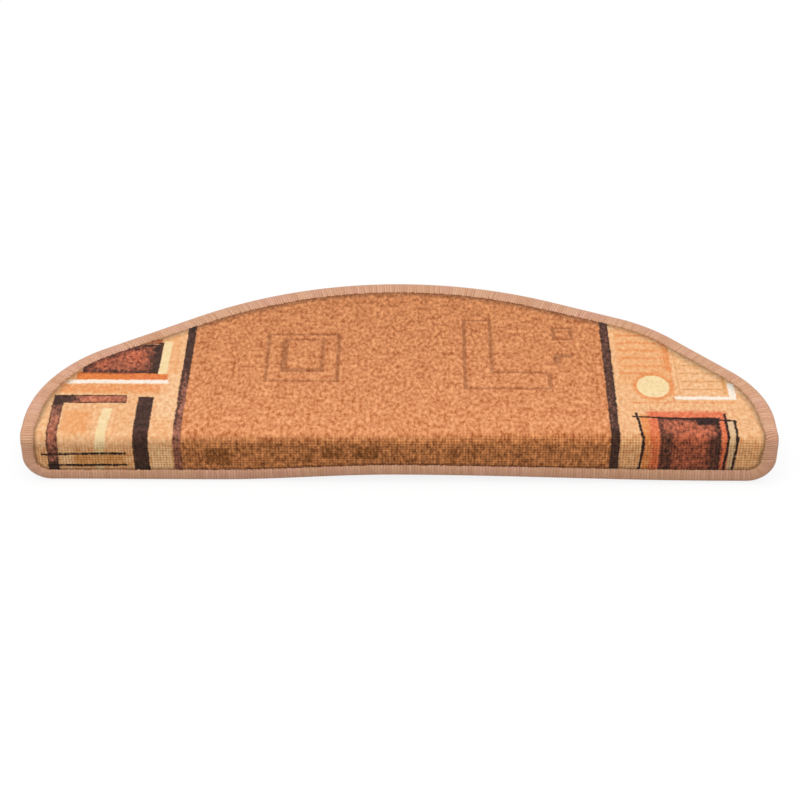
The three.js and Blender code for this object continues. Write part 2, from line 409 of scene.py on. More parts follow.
squeeze = BINDING_WALL + BINDING_GAP
tongue_end = BINDING_EDGE + BINDING_GAP
tongue_root = BINDING_WIDTH + BINDING_GAP
field_edge = tongue_root + PILE_RISE
upper_squeeze = BINDING_HEIGHT - squeeze
rise = CARPET_THICKNESS - upper_squeeze
PILE_RINGS = [(tongue_end, upper_squeeze), (tongue_root - 0.8, upper_squeeze)]
PILE_RINGS += [(tongue_root + a * PILE_RISE, upper_squeeze + b * rise) for a, b in RISE_SHAPE]
BACKING_RINGS = [(tongue_end, squeeze), (tongue_root, squeeze), (field_edge, 0.0)]


def grid(low, high, step):
    """A rectangular grid of points with a whole number of steps from its corner."""
    u = np.arange(low[0], high[0] + step / 2, step)
    v = np.arange(low[1], high[1] + step / 2, step)
    return np.array(np.meshgrid(u, v)).reshape(2, -1).T


def pile_points():
    """Scattered points on the tread and rows of points on the nosing, as print places."""
    random = np.random.default_rng(SEED)
    half_pitch = TUFT_PITCH / 2
    columns = math.ceil(HALF_WIDTH / TUFT_PITCH) * TUFT_PITCH
    lowest = math.floor(print_v(FLAT_FRONT) / TUFT_PITCH) * TUFT_PITCH
    rows = grid((-columns, lowest), (columns, ROWS_BACK_TO), half_pitch)
    tread = grid(
        (-HALF_WIDTH, ROWS_BACK_TO + TREAD_SPACING), (HALF_WIDTH, print_v(FLAT_BACK)), TREAD_SPACING
    )
    tread += random.uniform(-TREAD_JITTER, TREAD_JITTER, tread.shape) * TREAD_SPACING
    return np.vstack((rows, tread))


def fill(ring, inner):
    """Triangles over the inside of a ring and the points in it. The ring's points come first."""
    places = [Vector(p) for p in np.vstack((ring, inner))]
    _, _, faces, origins, _, _ = delaunay_2d_cdt(places, [], [list(range(len(ring)))], 1, 1e-6)
    return [[origins[i][0] for i in face] for face in faces]


def kept_inside(points, v):
    return points[edge_distance(points[:, 0], v)[0] > field_edge + EDGE_CLEARANCE]


pile_inner = pile_points()
pile_inner = kept_inside(pile_inner, pattern_v(pile_inner[:, 1]))
backing_inner = grid((-HALF_WIDTH, 0), (HALF_WIDTH, FLAT_BACK), BACKING_SPACING)
backing_inner = kept_inside(backing_inner, backing_inner[:, 1])
print(f"{len(pile_inner)} points on the pile side, {len(backing_inner)} on the backing")

# %% Carved figures
CARVED_LINE = 2.9
CARVED_BROAD_LINE = 5.8
CARVED_SOFTNESS = 1.2
# Left, front, right and back of each rectangle in the tread's pile, as print places
LARGE_SQUARE = (-120.5, 78, -54, 153)
INNER_SQUARE = (-107, 93, -68, 145)
UPRIGHT_ARM = (57, 68, 84, 177)
LEVEL_ARM = (57, 68, 135, 95)
SMALL_SQUARE = (139, 144, 158, 165)
HOOK_SIDE = (138.5, 107, 144.5, 123)
HOOK_TOP = (138.5, 117, 156.5, 123)


def outside(u, v, box):
    """How far places lie outside a rectangle. Inside it the distance is negative."""
    across = np.maximum(box[0] - u, u - box[2])
    along = np.maximum(box[1] - v, v - box[3])
    return np.maximum(across, along)


def within(distance):
    """1 inside an outline and 0 outside it, with a soft step between."""
    return np.clip(0.5 - distance / CARVED_SOFTNESS, 0, 1)


def carving_at(u, v):
    """How deep the pile is carved at these places, as a share of the full depth."""
    inner = outside(u, v, INNER_SQUARE)
    left, front, right_side, back = INNER_SQUARE
    hollow = (
        left + CARVED_BROAD_LINE,
        front + CARVED_BROAD_LINE,
        right_side - CARVED_LINE,
        back - CARVED_LINE,
    )
    arms = np.minimum(outside(u, v, UPRIGHT_ARM), outside(u, v, LEVEL_ARM))
    hook = np.minimum(outside(u, v, HOOK_SIDE), outside(u, v, HOOK_TOP))
    carved = [within(inner) * (1 - within(outside(u, v, hollow))), within(hook)]
    for shape in (outside(u, v, LARGE_SQUARE), arms, outside(u, v, SMALL_SQUARE)):
        carved.append(within(shape) * within(-shape - CARVED_LINE))
    return np.maximum.reduce(carved)


# %% Mesh of the carpet sheet
BAKE_MARGIN = 0.01


def stitched(first, second, count):
    """Faces between two rings of the same number of points, given where each starts."""
    here = np.arange(count)
    after = (here + 1) % count
    return np.column_stack((first + here, first + after, second + after, second + here)).tolist()


def store(mesh, name, numbers, kind="FLOAT", domain="POINT"):
    """Gives a mesh an attribute with these numbers or vectors."""
    field = "vector" if numbers.ndim > 1 else "value"
    mesh.attributes.new(name, kind, domain).data.foreach_set(field, numbers.ravel())


def store_map(mesh, name, places):
    mesh.uv_layers.new(name=name).uv.foreach_set("vector", places.ravel())


def ring_places(rings, to_print):
    """Flat pattern places and heights of a set of rings, one after the other."""
    places, heights = [], []
    for inset, height in rings:
        ring = cut_line(inset)
        if to_print:
            ring[:, 1] = print_v(ring[:, 1])
        places.append(ring)
        heights.append(np.full(len(ring), height))
    return np.vstack(places), np.concatenate(heights)


def carpet_sheet():
    """The carpet as one closed mesh, with the attributes that the pile and the print need."""
    pile_rim, pile_heights = ring_places(PILE_RINGS, True)
    backing_rim, backing_heights = ring_places(BACKING_RINGS, False)
    pile_places = np.vstack((pile_rim, pile_inner))
    pile_w = np.concatenate((pile_heights, np.full(len(pile_inner), CARPET_THICKNESS)))
    backing_places = np.vstack((backing_rim, backing_inner))
    backing_w = np.concatenate((backing_heights, np.zeros(len(backing_inner))))

    count = ring_count
    faces = []
    for ring in range(len(PILE_RINGS) - 1):
        faces += stitched(ring * count, (ring + 1) * count, count)
    last = (len(PILE_RINGS) - 1) * count
    faces += [[last + i for i in face] for face in fill(pile_rim[last:], pile_inner)]
    pile_faces = len(faces)

    start = len(pile_places)
    faces += [face[::-1] for face in stitched(0, start, count)]
    for ring in range(len(BACKING_RINGS) - 1):
        first = start + ring * count
        faces += [face[::-1] for face in stitched(first, first + count, count)]
    last = (len(BACKING_RINGS) - 1) * count
    inner_faces = fill(backing_rim[last:], backing_inner)
    faces += [[start + last + i for i in face[::-1]] for face in inner_faces]

    u = np.concatenate((pile_places[:, 0], backing_places[:, 0]))
    v = np.concatenate((pattern_v(pile_places[:, 1]), backing_places[:, 1]))
    w = np.concatenate((pile_w, backing_w))
    inset, nearest = edge_distance(u, v)
    yarn_end = BINDING_WIDTH * yarn_reach(outline)[nearest]
    pile_root = BINDING_GAP + np.where(v > 0, yarn_end, BINDING_WIDTH)
    risen = np.interp((inset - pile_root) / PILE_RISE, *np.transpose(RISE_SHAPE))
    w[:start] = np.minimum(w, upper_squeeze + rise * risen)[:start]
    points, outward = fold(u, v, w)
    mesh = bpy.data.meshes.new("carpet_sheet")
    mesh.from_pydata((points * MM).tolist(), [], faces)

    rim_length = np.interp(v, (0, BACK_RIM_FROM), (RIM_LENGTH, BACK_RIM_LENGTH))
    on_pile = np.arange(len(u)) < start
    standing = np.clip((inset - pile_root) / PILE_RISE, 0, 1) * on_pile
    place = print_v(v)
    opening = np.interp(u, *np.transpose(OPENING))
    nosing = np.clip((opening - place) / OPENING_LENGTH + 0.5, 0, 1)
    store(mesh, "standing", standing)
    store(mesh, "nosing", nosing)
    store(mesh, "carved", carving_at(u, place) * on_pile)
    store(mesh, "past_yarn", np.clip((inset - yarn_end) / rim_length, 0, 1))
    store(mesh, "outward", outward, "FLOAT_VECTOR")
    flat_place = np.column_stack((u, place, 0 * u)) * MM
    store(mesh, "print_place", flat_place, "FLOAT_VECTOR")
    backing = np.arange(len(faces)) >= pile_faces
    store(mesh, "backing", backing, "BOOLEAN", "FACE")
    corners = np.empty(len(mesh.loops), int)
    mesh.loops.foreach_get("vertex_index", corners)
    on_backing = np.repeat(backing, [len(face) for face in faces])
    print_map = flat_place[corners, :2]
    store_map(mesh, "print_map", print_map)
    size = 2 * HALF_WIDTH * MM / (1 - 2 * BAKE_MARGIN)
    bake = print_map / size + [0.5, BAKE_MARGIN - print_v(FLAT_FRONT) * MM / size]
    bake[on_backing, 1] = 1 - bake[on_backing, 1]
    store_map(mesh, "OFBake", bake)
    return mesh


sheet = bpy.data.objects.new("carpet_sheet", carpet_sheet())
scene.collection.objects.link(sheet)
print(f"sheet: {len(sheet.data.vertices)} points, {len(sheet.data.polygons)} faces")

# %% [markdown]
# ## Raising the pile
#
# A tuft is a knot of cut yarn about two millimetres across. On the level tread the tufts lean into
# each other and make an uneven, cloudy surface, so a noise of about that size raises them there.
# On the nosing each tuft stands by itself, so waves along the rows and across them raise the
# places where tufts are and sink the backing cloth between. The tree reads the attributes that the
# sheet carries.

# %% Pile relief
TUFT_HEIGHT = 0.5
LEVEL_PILE = 0.34  # how far the level pile rises and sinks, against the opened pile
CARVED_DEPTH = 1.0
PILE_LIE = 0.62  # the tufts lie back a little, which draws every mottle out in that direction


def new_tree(name, kind, inputs, output):
    """A node tree with inputs, each a name, kind and value, and one output, a name and kind.

    Gives the tree, what adds nodes to it, and its inputs.
    """
    tree = bpy.data.node_groups.new(name, kind)
    sockets = [(*row, "INPUT") for row in inputs] + [(*output, None, "OUTPUT")]
    for label, socket_kind, value, way in sockets:
        socket_type = "NodeSocket" + socket_kind
        item = tree.interface.new_socket(name=label, in_out=way, socket_type=socket_type)
        if value is not None:
            item.default_value = value
    add = partial(add_node, tree)
    return tree, add, add("NodeGroupInput").outputs


def attribute(add, name, data_type="FLOAT"):
    """A node that reads a mesh attribute."""
    return add("GeometryNodeInputNamedAttribute", name, data_type=data_type)


def waves(add, place, turns):
    """Waves across and along a place, with this many radians to each unit of it."""
    turned = add("VectorMath", place, {"Scale": turns}, operation="SCALE")
    return add("SeparateXYZ", add("VectorMath", turned, operation="COSINE")).outputs


def plain_mesh(ob, tree, name, values=None):
    """Runs a tree on an object with these input values, and keeps only the mesh that comes out."""
    modifier = ob.modifiers.new(tree.name, "NODES")
    modifier.node_group = tree
    for item in tree.interface.items_tree:
        if item.in_out == "INPUT" and item.name in (values or {}):
            modifier[item.identifier] = values[item.name]
    seen_by = bpy.context.evaluated_depsgraph_get()
    mesh = bpy.data.meshes.new_from_object(ob.evaluated_get(seen_by), depsgraph=seen_by)
    made = bpy.data.objects.new(name, mesh)
    mesh.name = name
    scene.collection.objects.link(made)
    bpy.data.objects.remove(ob)
    print(f"{name}: {sum(len(p.vertices) - 2 for p in mesh.polygons)} triangles")
    return made


pile_middle = bpy.data.materials.new("cut_pile_middle")
pile_left = bpy.data.materials.new("cut_pile_left_end")
pile_right = bpy.data.materials.new("cut_pile_right_end")
latex_backing = bpy.data.materials.new("latex_backing")

# %% Pile relief tree
END_PRINT = 175.0  # from here outwards the print is that of the ends
CLOUD_SCALE = 1.05  # noise of the level pile, in tufts
CLOUD_RANGE = (0.25, 0.75)  # of that noise
ROW_TOP = 0.3
ROW_BOTTOM = -0.8
ROW_UNEVENNESS = 0.8


def pile_relief():
    tree, add, given = new_tree(
        "pile_relief",
        "GeometryNodeTree",
        [
            ("Sheet", "Geometry", None),
            ("Tuft pitch", "Float", TUFT_PITCH * MM),
            ("Tuft height", "Float", TUFT_HEIGHT * MM),
            ("Carved depth", "Float", CARVED_DEPTH * MM),
            ("Seed", "Float", float(SEED)),
        ],
        ("Carpet", "Geometry"),
    )
    place = attribute(add, "print_place", "FLOAT_VECTOR")
    share = add("Math", 1.0, given["Tuft pitch"], operation="DIVIDE")
    counted = add("VectorMath", place, {"Scale": share}, operation="SCALE")
    lying = add("VectorMath", counted, (1, PILE_LIE, 1), operation="MULTIPLY")
    leaning = add(
        "TexNoise",
        {"Vector": lying, "W": given["Seed"], "Scale": CLOUD_SCALE, "Roughness": 0.6},
        noise_dimensions="4D",
    )
    cloudy = add("MapRange", leaning, *CLOUD_RANGE, -LEVEL_PILE, LEVEL_PILE)
    wave = waves(add, counted, 2 * math.pi)
    both = add("Math", wave["X"], wave["Y"], operation="ADD")
    rows = add("MapRange", both, -2.0, 2.0, ROW_BOTTOM, ROW_TOP)
    uneven = add("Math", cloudy, ROW_UNEVENNESS, rows, operation="MULTIPLY_ADD")
    nosing = attribute(add, "nosing")
    tufts = add("Mix", {"Factor": nosing, "A": cloudy, "B": uneven})
    raised = add("Math", tufts, given["Tuft height"], operation="MULTIPLY")
    depth = add("Math", attribute(add, "carved"), given["Carved depth"], operation="MULTIPLY")
    relief = add("Math", raised, depth, operation="SUBTRACT")
    standing = add("Math", relief, attribute(add, "standing"), operation="MULTIPLY")
    outward = attribute(add, "outward", "FLOAT_VECTOR")
    offset = add("VectorMath", outward, {"Scale": standing}, operation="SCALE")
    moved = add("GeometryNodeSetPosition", {"Geometry": given["Sheet"], "Offset": offset})
    dressed = add("GeometryNodeRealizeInstances", moved)
    across = add("SeparateXYZ", place).outputs["X"]
    end = END_PRINT * MM
    left = add("FunctionNodeCompare", {"A": across, "B": -end}, operation="LESS_THAN")
    right = add("FunctionNodeCompare", {"A": across, "B": end})
    backing = attribute(add, "backing", "BOOLEAN")
    for where, material in (
        (True, pile_middle),
        (left, pile_left),
        (right, pile_right),
        (backing, latex_backing),
    ):
        dressed = add(
            "GeometryNodeSetMaterial",
            {"Geometry": dressed, "Selection": where, "Material": material},
        )
    add("NodeGroupOutput", dressed)
    return tree


carpet = plain_mesh(sheet, pile_relief(), "printed_carpet")

# %% [markdown]
# ## The printed pattern
#
# The pattern is dyed into the tips of the pile: cream panels with bars, frames and a disc at both
# ends, and a plain mottled field between two dark bands. It is drawn with one node group for a bar
# with soft edges, used once for each bar, over the carpet's own print map. A noise first shifts
# the places a little, and where a bar is faint or its edge soft, single tufts take the ink: that
# many of them do, as the bar is strong there, which gives the print its speckle.

# %% The bar group
EDGE_SOFTNESS = 1.7
FLECK_SOFTNESS = 1.3  # 0 would leave each tuft either inked or bare


def printed_bar():
    """Lays ink over a colour inside a rectangle, whose sizes are in millimetres of print place."""
    tree, add, given = new_tree(
        "printed_bar",
        "ShaderNodeTree",
        [
            ("Cloth", "Color", None),
            ("Ink", "Color", None),
            ("Place", "Vector", None),
            ("Centre", "Vector", None),
            ("Half size", "Vector", None),
            ("Lean", "Vector", None),
            ("Softness", "Vector", (EDGE_SOFTNESS, EDGE_SOFTNESS, 1)),
            ("Strength", "Float", 1.0),
            ("Fleck", "Float", 0.5),
        ],
        ("Cloth", "Color"),
    )
    offset = add("VectorMath", given["Place"], given["Centre"], operation="SUBTRACT")
    way = add("SeparateXYZ", offset).outputs
    swapped = add("CombineXYZ", {"X": way["Y"], "Y": way["X"]})
    lean = add("VectorMath", swapped, given["Lean"], operation="MULTIPLY")
    upright = add("VectorMath", offset, lean, operation="SUBTRACT")
    away = add("VectorMath", upright, operation="ABSOLUTE")
    past = add("VectorMath", away, given["Half size"], operation="SUBTRACT")
    shares = add("VectorMath", past, given["Softness"], operation="DIVIDE")
    side = add("SeparateXYZ", shares).outputs
    share = add("Math", side["X"], side["Y"], operation="MAXIMUM")
    inked = add("Math", 0.5, share, operation="SUBTRACT", use_clamp=True)
    strong = add("Math", inked, given["Strength"], operation="MULTIPLY")
    reach = add("Math", 1 + FLECK_SOFTNESS, strong, operation="MULTIPLY")
    above = add("Math", reach, given["Fleck"], operation="SUBTRACT")
    taken = add("Math", above, FLECK_SOFTNESS, operation="DIVIDE", use_clamp=True)
    mixed = add("Mix", {"Factor": taken, "A": given["Cloth"], "B": given["Ink"]}, data_type="RGBA")
    add("NodeGroupOutput", mixed)
    return tree


bar_group = printed_bar()


def bar(ink, across, along, strength=1.0, softness=EDGE_SOFTNESS, lean=0.0, slope=0.0):
    """One bar of the print, from left to right and from front to back, in print places.

    Softness is one length, or one for its sides and one for its ends.
    """
    if not isinstance(softness, tuple):
        softness = (softness, softness)
    return ink, across, along, strength, (*softness, 1), lean, slope


# %% Bars at the left end
LEFT_BARS = [
    bar("peach", (-330, -196), (57, 150), 0.45, 6.0),
    bar("apricot", (-300, -203), (60, 73), 0.6, 5.0),
    bar("cloud", (-212, -192), (20, 90), 0.4, 5.0),
    bar("peach", (-291, -266), (2, 36), 0.75, 8.0),
    bar("peach", (-249, -230), (4, 42), 0.3, 8.0),
    bar("umber", (-283, -215), (87, 134)),
    bar("orange", (-330, -216), (134, 144), 0.75, 2.0),
    bar("ember", (-252, -216), (134.6, 137.2), 0.85),
    bar("ember", (-244, -216), (139.4, 141.6), 0.75),
    bar("garnet", (-279, -224), (92, 130), 0.75, 12.0),
    bar("coral", (-243, -231), (104, 122), 0.5, 12.0),
    bar("coral", (-271, -260), (98, 110), 0.5, 10.0),
    bar("umber", (-220, -214.5), (87, 137), 0.85),
    bar("butter", (-214.5, -207), (88, 138.6), lean=0.03),
    bar("orange", (-287, -206), (78.4, 89.4), slope=-0.035),
    bar("rust", (-284, -236), (87.6, 90.0), 0.7, slope=-0.035),
    bar("coral", (-240, -206), (79.5, 86.5), 0.4, 3.0, slope=-0.035),
    bar("white", (-293, -205), (73.6, 79.0), 1.0, (8.0, 2.4)),
    bar("umber", (-302, -238.5), (44.8, 56.4)),
    bar("salmon", (-281, -240), (46.4, 54.8), 0.95, (18.0, 2.0)),
    bar("umber", (-302.5, -293), (-60, 50)),
    bar("ember", (-302, -293.5), (-26, 42), 0.8, 3.0),
    bar("salmon", (-301.5, -294), (-14, 26), 0.5, (3.0, 14.0)),
    bar("butter", (-259.5, -251), (-12, 37), 0.95, lean=0.06),
    bar("butter", (-262.5, -254.5), (-60, -10), 0.7, lean=0.03),
    bar("cloud", (-293, -280), (-60, -12), 0.5, 4.0),
    bar("cloud", (-214, -195), (-60, -8), 0.6, 3.0),
    bar("ochre", (-280, -236), (-30, -18), 0.7, 3.0),
    bar("umber", (-228.5, -215), (-60, 54)),
]
LEFT_BARS += [bar("apricot", (-213, -197), (v, v + 2.2), 0.4, 1.6) for v in range(-2, 28, 5)]
LEFT_LINES = [
    bar("ember", (-194, -187), (-60, 200)),
    bar("umber", (-194, -187), (78, 200), 0.9, (1.3, 40.0)),
    bar("umber", (-194.5, -191), (10, 90), 0.6, 2.0),
    bar("soot", (-308, -235), (-19.0, -16.4), 0.88, slope=0.025),
    bar("soot", (-304, -235), (-31.2, -28.6), 0.88, slope=0.015),
]
print(len(LEFT_BARS) + len(LEFT_LINES), "bars at the left end")

# %% Bars at the right end
RIGHT_BARS = [
    bar("peach", (194, 240), (75, 170), 0.5, 3.0),
    bar("apricot", (236.5, 243), (96, 140), 0.75, 2.5),
    bar("apricot", (239.5, 242.5), (50, 98), 0.6, 2.0),
    bar("cloud", (244, 298), (56, 140), 0.25, 3.0),
    bar("ochre", (285, 288), (61, 90), 0.8, 1.6),
    bar("ochre", (245, 247.5), (60, 125), 0.5, 1.6),
    bar("apricot", (197, 292), (47.5, 50.5), 0.6, 2.0),
    bar("white", (241, 294), (53.4, 57.8), 1.0, 1.6),
    bar("white", (289.4, 295.2), (53.4, 78), 1.0, 1.6),
    bar("apricot", (208, 217), (-60, 32), 0.8, 3.0),
    bar("coral", (215, 283), (-60, 37), 0.85, (4.0, 9.0)),
    bar("orange", (215, 223), (-60, 18), 0.35, 3.0),
    bar("umber", (223.5, 276), (-60, 27), 1.0, 3.0),
    bar("garnet", (226, 273), (-60, 24), 0.85, 8.0),
    bar("umber", (226, 235), (-60, 6), 0.65, 5.0),
    bar("umber", (264, 275), (-60, 4), 0.65, 6.0),
    bar("coral", (238, 264), (-4, 20), 0.34, 12.0),
    bar("soot", (256, 276), (16, 27), 0.8, 3.0),
    bar("sand", (282, 289), (-60, 22)),
]
HATCH_ROWS = (90, 101.5, 113.5, 125.5, 137.5, 149)
RIGHT_BARS += [bar("apricot", (197, 237), (v, v + 4.6), 0.66, (4.0, 3.0)) for v in HATCH_ROWS]
RIGHT_BARS += [bar("ochre", (248, 285), (v, v + 2.8), 0.62, 1.8) for v in range(67, 139, 12)]
RIGHT_LINES = [
    bar("umber", (182, 190), (-60, 200), 0.95, lean=0.01),
    bar("ember", (183, 189), (12, 200), 0.3, 2.0, lean=0.01),
    bar("soot", (201.5, 290), (24.6, 26.8), slope=-0.07),
    bar("soot", (205.6, 208.0), (2.5, 34), lean=-0.09),
    bar("soot", (205.8, 208.2), (-60, 3), lean=0.08),
    bar("soot", (280.4, 282.8), (0, 33)),
    bar("soot", (278.4, 280.8), (-60, 2), lean=0.08),
    bar("soot", (288.2, 290.6), (0, 22.5)),
    bar("soot", (286.0, 288.4), (-60, 2), lean=0.08),
]
print(len(RIGHT_BARS) + len(RIGHT_LINES), "bars at the right end")

# %% Bars of the middle
MIDDLE_BARS = [
    bar("shade", (-166.6, -145.5), (-29, -11), 0.6, 1.8),
    bar("shade", (-82, -73), (-26, -18), 0.5, 1.8),
    bar("shade", (-66.9, -47.9), (-22, -9), 0.6, 1.8),
    bar("shade", (-37.6, -17), (-22, -9), 0.6, 1.8),
    bar("shade", (44.6, 49.8), (-27, -10), 0.6, 1.8),
    bar("shade", (61, 65.6), (-27, -10), 0.5, 1.8),
]
print(len(MIDDLE_BARS), "bars in the middle")

# %% [markdown]
# ## Printed pile
#
# The pile is cut polyamide, dull and soft, so it is almost as rough as a surface can be, with a
# little sheen from the fibre ends. Two things give it its look from near by. Each tuft takes the
# dye a bit differently, which makes the mottle that every colour here has. And where the pile
# opens on the nosing, the undyed roots show between the rows of tufts. The shade between the
# rows is painted into the colour there, so the colours get darker and a fine grid appears. Shade is
# also painted on the pile along the binding.

# %% Inks
# Each ink: its colour on dark tufts and on light tufts
INKS = {
    "peach": ("#E29355", "#F5B57C"),
    "apricot": ("#D97F42", "#F2A266"),
    "ochre": ("#CA8848", "#E8AC6C"),
    "cloud": ("#F6C793", "#FFDCB4"),
    "butter": ("#EAC88E", "#FBE4B6"),
    "white": ("#F3DCC2", "#FFF6EC"),
    "orange": ("#CF6A2C", "#EE8E4E"),
    "rust": ("#7A3A2A", "#B4583A"),
    "coral": ("#CC5A38", "#F58C62"),
    "salmon": ("#883E2E", "#E8926E"),
    "garnet": ("#200E0A", "#E07E5C"),
    "ember": ("#220F0A", "#C8826A"),
    "umber": ("#24150F", "#5E4036"),
    "soot": ("#231512", "#3A2520"),
    "sand": ("#CFA67C", "#EECBA2"),
    "shade": ("#58320C", "#AC6C34"),
}
FIELD_FRONT = ("#AC521A", "#FFB680")
FIELD_BACK = ("#8A441A", "#F2A46C")
FIELD_NOSING = ("#683408", "#FAAA6E")
PANEL = ("#DC965E", "#FFD8AA")
GRAIN_CELL = 3.2  # size of the largest clumps of tufts that took the same dye
GRAIN_DETAIL = 3.0
GRAIN_RANGE = (0.32, 0.68)
FLECK_CELL = 2.6
FLECK_SHIFT = (31.0, 17.0, 5.0)  # so that the flecks don't follow the grain
CLOUD_CELL = 14.0
PANEL_CLOUDS = 0.45  # how far the clouds tint the panels
CLOUD_SHARE = 0.2  # of the mottle that is cloudy rather than from tuft to tuft
FIELD_V = (20.0, 220.0)  # over which the field goes from its front to its back colours
FIELD_NOSING_V = (-6.0, 4.0)
FIELD_LEFT = -190.5
FIELD_RIGHT = 186.0
PRINT_WARPS = [(18.0, 1.6), (2.6, 1.3)]  # size of the noise and the shift that it brings


def print_places(add):
    """Print places in millimetres, true and shifted by the unevenness of the print."""
    flat = add("UVMap", uv_map="print_map")
    place = add("VectorMath", flat, {"Scale": 1 / MM}, operation="SCALE")
    shifted = place
    for size, shift in PRINT_WARPS:
        noise = add("TexNoise", {"Vector": place, "Scale": 1 / size})
        away = add("VectorMath", noise.outputs["Color"], (0.5, 0.5, 0.5), operation="SUBTRACT")
        shifted = add("VectorMath", away, (shift, shift, 0), shifted, operation="MULTIPLY_ADD")
    return place, shifted


def spread(add, place, cell, low, high, detail=1.0):
    """A noise of this cell size, stretched so that its usual range runs from 0 to 1."""
    noise = add(
        "TexNoise", {"Vector": place, "Scale": 1 / cell, "Detail": detail, "Roughness": 0.65}
    )
    return add("MapRange", noise, low, high)


def blended(add, factor, first, second, blend_type="MIX"):
    inputs = {"Factor": factor, "A": first, "B": second}
    return add("Mix", inputs, data_type="RGBA", blend_type=blend_type)


def dyed(add, grain, colours):
    """A colour that goes from its dark to its light tufts with the grain."""
    return blended(add, grain, *(srgb(code) for code in colours))


def with_bars(add, cloth, place, fleck, inks, bars):
    """Prints bars over a colour, one after the other."""
    for ink, across, along, strength, softness, lean, slope in bars:
        centre = (sum(across) / 2, sum(along) / 2, 0)
        half = ((across[1] - across[0]) / 2, (along[1] - along[0]) / 2, 0)
        shape = (centre, half, (lean, slope, 0), softness, strength)
        cloth = add("Group", cloth, inks[ink], place, *shape, fleck, node_tree=bar_group)
    return cloth


# %% Print on the pile
DISC_CENTRE = (224.0, 72.6, 0)
DISC_SIZE = (13.9, 15.8, 1.0)
DISC_EDGES = [("apricot", 1.12, 0.3), ("butter", 1.0, 0.08)]  # edge and softness, in disc sizes
# Painted shade: how dark the gaps between the open rows of tufts on the nosing are made
GAP_SHADE = 0.6
GAP_WAVES = (-1.6, 1.2)  # heights of the waves of the tufts that count as gap and as tuft
GAP_UNEVENNESS = 1.2
OPEN_PILE = "#FFF6E6"  # tints the colours of the open pile on the nosing, under the painted shade of its gaps
RIM_SHADE = 0.46  # painted shade on the pile that the binding presses down, next to the yarn
NOSING_RIM_SHADE = 0.5  # the same painted shade, where the pile stands open
# how far the carved lines darken: their printed tone, with painted shade in the grooves
CARVED_SHADE = 0.42
CARVED_INK_AND_SHADE = "#5A3018"
FIBRE_CELL = 0.45
FIBRE_HEIGHT = 0.35


def field_and_panels(add, place, grain, cloud):
    """The mottled middle and the cream ends, before any bar."""
    way = add("SeparateXYZ", place).outputs
    backward = add("MapRange", way["Y"], *FIELD_V)
    field = blended(add, backward, dyed(add, grain, FIELD_FRONT), dyed(add, grain, FIELD_BACK))
    on_tread = add("MapRange", way["Y"], *FIELD_NOSING_V)
    field = blended(add, on_tread, dyed(add, grain, FIELD_NOSING), field)
    tinted = add("Math", cloud, PANEL_CLOUDS, operation="MULTIPLY")
    panel = blended(add, tinted, dyed(add, grain, PANEL), dyed(add, grain, INKS["peach"]))
    middle = (FIELD_LEFT + FIELD_RIGHT) / 2
    off_middle = add("Math", way["X"], middle, operation="SUBTRACT")
    away = add("Math", off_middle, operation="ABSOLUTE")
    half_field = (FIELD_RIGHT - FIELD_LEFT) / 2
    in_panel = add("Math", away, half_field, operation="GREATER_THAN")
    return blended(add, in_panel, field, panel)


def with_disc(add, cloth, place, inks):
    offset = add("VectorMath", place, DISC_CENTRE, operation="SUBTRACT")
    scaled = add("VectorMath", offset, DISC_SIZE, operation="DIVIDE")
    reach = add("VectorMath", scaled, operation="LENGTH")
    for ink, edge, softness in DISC_EDGES:
        inside = add("MapRange", reach.outputs["Value"], edge + softness, edge)
        cloth = blended(add, inside, cloth, inks[ink])
    return cloth


def with_painted_shade(add, cloth, place, grain):
    """Paints shade on the roots where the pile opens on the nosing and on the pile by the binding.
    """
    nosing = add("Attribute", attribute_name="nosing").outputs["Fac"]
    wave = waves(add, place, 2 * math.pi / TUFT_PITCH)
    both = add("Math", wave["X"], wave["Y"], operation="ADD")
    uneven = add("Math", grain, GAP_UNEVENNESS, both, operation="MULTIPLY_ADD")
    low, high = (GAP_UNEVENNESS / 2 + wave_height for wave_height in GAP_WAVES)
    shade = add("MapRange", uneven, low, high, GAP_SHADE, 1.0)
    gap_painted_shade = add("VectorMath", srgb(OPEN_PILE)[:3], {"Scale": shade}, operation="SCALE")
    tint = blended(add, nosing, (1, 1, 1, 1), gap_painted_shade)
    # Painted shade on the pile along the binding, darkest at the yarn's end
    past_yarn = add("Attribute", attribute_name="past_yarn").outputs["Fac"]
    darkest = add("MapRange", nosing, {"To Min": RIM_SHADE, "To Max": NOSING_RIM_SHADE})
    rim = add("MapRange", past_yarn, {"To Min": darkest})
    tint = add("VectorMath", tint, {"Scale": rim}, operation="SCALE")
    return blended(add, 1.0, cloth, tint, "MULTIPLY")


